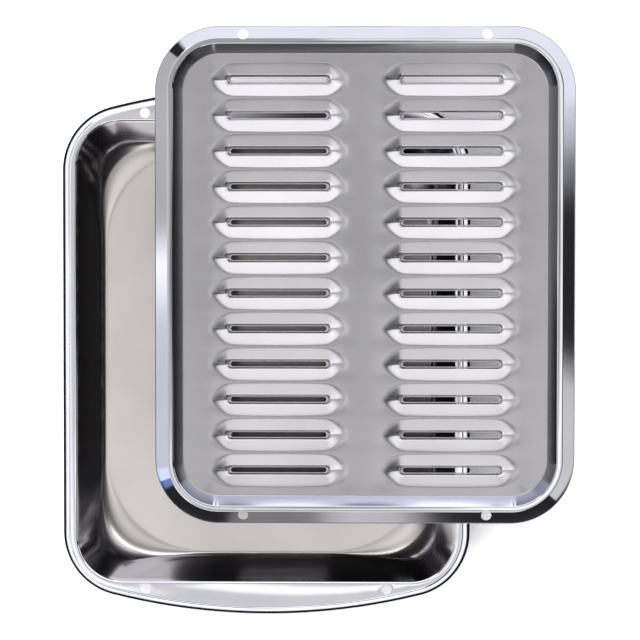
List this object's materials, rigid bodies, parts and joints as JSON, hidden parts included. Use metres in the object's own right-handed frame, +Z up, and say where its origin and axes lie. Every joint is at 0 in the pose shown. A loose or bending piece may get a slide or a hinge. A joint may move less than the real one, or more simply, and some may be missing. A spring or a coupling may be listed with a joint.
{
  "type": "broiler pan",
  "caption": "Chromed steel broiler pan: a deep drip pan with drawn-out end handles, and a slotted rack with sunken V-shaped valleys laid askew across its rim.",
  "frame": {"origin": "centre of the drip pan's underside, on the surface that it stands on", "axes": "+Z up out of the pan, +Y along the pan's long sides towards its back handle, +X towards the side that the rack overhangs"},
  "size_m": [0.405, 0.4655, 0.0545],
  "materials": {
    "pan_chrome": "polished chrome-plated sheet steel, with a satin floor",
    "rack_chrome": "chrome-plated sheet steel, polished at the rim and satin on the slotted field"
  },
  "bodies": {
    "root": {"drip_pan": "pan_chrome", "broiler_rack": "rack_chrome"}
  },
  "joints": []
}
